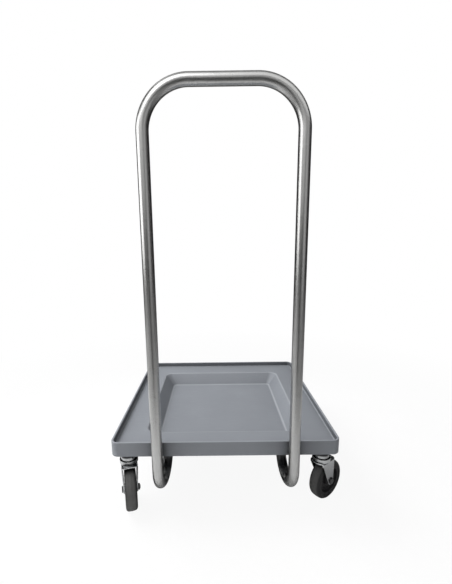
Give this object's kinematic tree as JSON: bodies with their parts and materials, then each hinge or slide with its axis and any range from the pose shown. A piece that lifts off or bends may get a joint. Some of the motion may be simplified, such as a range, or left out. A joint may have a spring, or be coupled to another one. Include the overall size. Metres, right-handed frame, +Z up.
{
  "type": "dish rack dolly",
  "caption": "Low square dolly for dishwasher racks: recessed plastic deck, swivel plate casters and a tall bent-tube push handle hooked under its front edge.",
  "frame": {"origin": "on the floor under the middle of the deck", "axes": "+Z up, +X to the right seen from the handle side, -Y towards the person who pushes it (the handle stands at -Y)"},
  "size_m": [0.5968, 0.613, 0.9551],
  "materials": {
    "deck_plastic": "moulded blue-grey plastic with a fine grain, matte",
    "stainless_tube": "satin stainless steel, brushed round the tube",
    "zinc_steel": "bright zinc plating on pressed steel",
    "dark_steel": "black zinc plating on the axle bolts and nuts",
    "bearing_steel": "ground steel balls",
    "black_plastic": "black moulded plastic",
    "tyre_rubber": "dark grey rubber, matte",
    "brass": "turned brass"
  },
  "bodies": {
    "frame": {"deck": "deck_plastic", "handle_tube": "stainless_tube", "handle_feet": "stainless_tube", "foot_screws": "zinc_steel", "foot_inserts": "brass", "leg_spacers": "black_plastic", "leg_bolts": "zinc_steel", "leg_rivet_nuts": "zinc_steel", "caster_screws": "zinc_steel", "caster_inserts": "brass", "front_left_top_plate": "zinc_steel", "front_left_kingpin": "zinc_steel", "front_right_top_plate": "zinc_steel", "front_right_kingpin": "zinc_steel", "rear_left_top_plate": "zinc_steel", "rear_left_kingpin": "zinc_steel", "rear_right_top_plate": "zinc_steel", "rear_right_kingpin": "zinc_steel"},
    "front_left_caster": {"front_left_race_balls": "bearing_steel", "front_left_lower_race": "zinc_steel", "front_left_fork": "zinc_steel", "front_left_axle_bolt": "dark_steel", "front_left_axle_nut": "dark_steel", "front_left_axle_sleeve": "zinc_steel"},
    "front_left_wheel": {"front_left_wheel_core": "black_plastic", "front_left_tyre": "tyre_rubber"},
    "front_right_caster": {"front_right_race_balls": "bearing_steel", "front_right_lower_race": "zinc_steel", "front_right_fork": "zinc_steel", "front_right_axle_bolt": "dark_steel", "front_right_axle_nut": "dark_steel", "front_right_axle_sleeve": "zinc_steel"},
    "front_right_wheel": {"front_right_wheel_core": "black_plastic", "front_right_tyre": "tyre_rubber"},
    "rear_left_caster": {"rear_left_race_balls": "bearing_steel", "rear_left_lower_race": "zinc_steel", "rear_left_fork": "zinc_steel", "rear_left_axle_bolt": "dark_steel", "rear_left_axle_nut": "dark_steel", "rear_left_axle_sleeve": "zinc_steel"},
    "rear_left_wheel": {"rear_left_wheel_core": "black_plastic", "rear_left_tyre": "tyre_rubber"},
    "rear_right_caster": {"rear_right_race_balls": "bearing_steel", "rear_right_lower_race": "zinc_steel", "rear_right_fork": "zinc_steel", "rear_right_axle_bolt": "dark_steel", "rear_right_axle_nut": "dark_steel", "rear_right_axle_sleeve": "zinc_steel"},
    "rear_right_wheel": {"rear_right_wheel_core": "black_plastic", "rear_right_tyre": "tyre_rubber"}
  },
  "joints": [
    {"name": "front_left_swivel", "type": "hinge", "parent": "frame", "child": "front_left_caster", "pos_m": [-0.2375, -0.2375, 0.1125], "axis": [0, 0, 1], "continuous": true},
    {"name": "front_left_spin", "type": "hinge", "parent": "front_left_caster", "child": "front_left_wheel", "pos_m": [-0.23199, -0.25673, 0.05], "axis": [0.9613, 0.2756, 0], "continuous": true},
    {"name": "front_right_swivel", "type": "hinge", "parent": "frame", "child": "front_right_caster", "pos_m": [0.2375, -0.2375, 0.1125], "axis": [0, 0, 1], "continuous": true},
    {"name": "front_right_spin", "type": "hinge", "parent": "front_right_caster", "child": "front_right_wheel", "pos_m": [0.25347, -0.22546, 0.05], "axis": [-0.6018, 0.7986, 0], "continuous": true},
    {"name": "rear_left_swivel", "type": "hinge", "parent": "frame", "child": "rear_left_caster", "pos_m": [-0.2375, 0.2375, 0.1125], "axis": [0, 0, 1], "continuous": true},
    {"name": "rear_left_spin", "type": "hinge", "parent": "rear_left_caster", "child": "rear_left_wheel", "pos_m": [-0.25347, 0.22546, 0.05], "axis": [0.6018, -0.7986, 0], "continuous": true},
    {"name": "rear_right_swivel", "type": "hinge", "parent": "frame", "child": "rear_right_caster", "pos_m": [0.2375, 0.2375, 0.1125], "axis": [0, 0, 1], "continuous": true},
    {"name": "rear_right_spin", "type": "hinge", "parent": "rear_right_caster", "child": "rear_right_wheel", "pos_m": [0.23199, 0.25673, 0.05], "axis": [-0.9613, -0.2756, 0], "continuous": true}
  ]
}
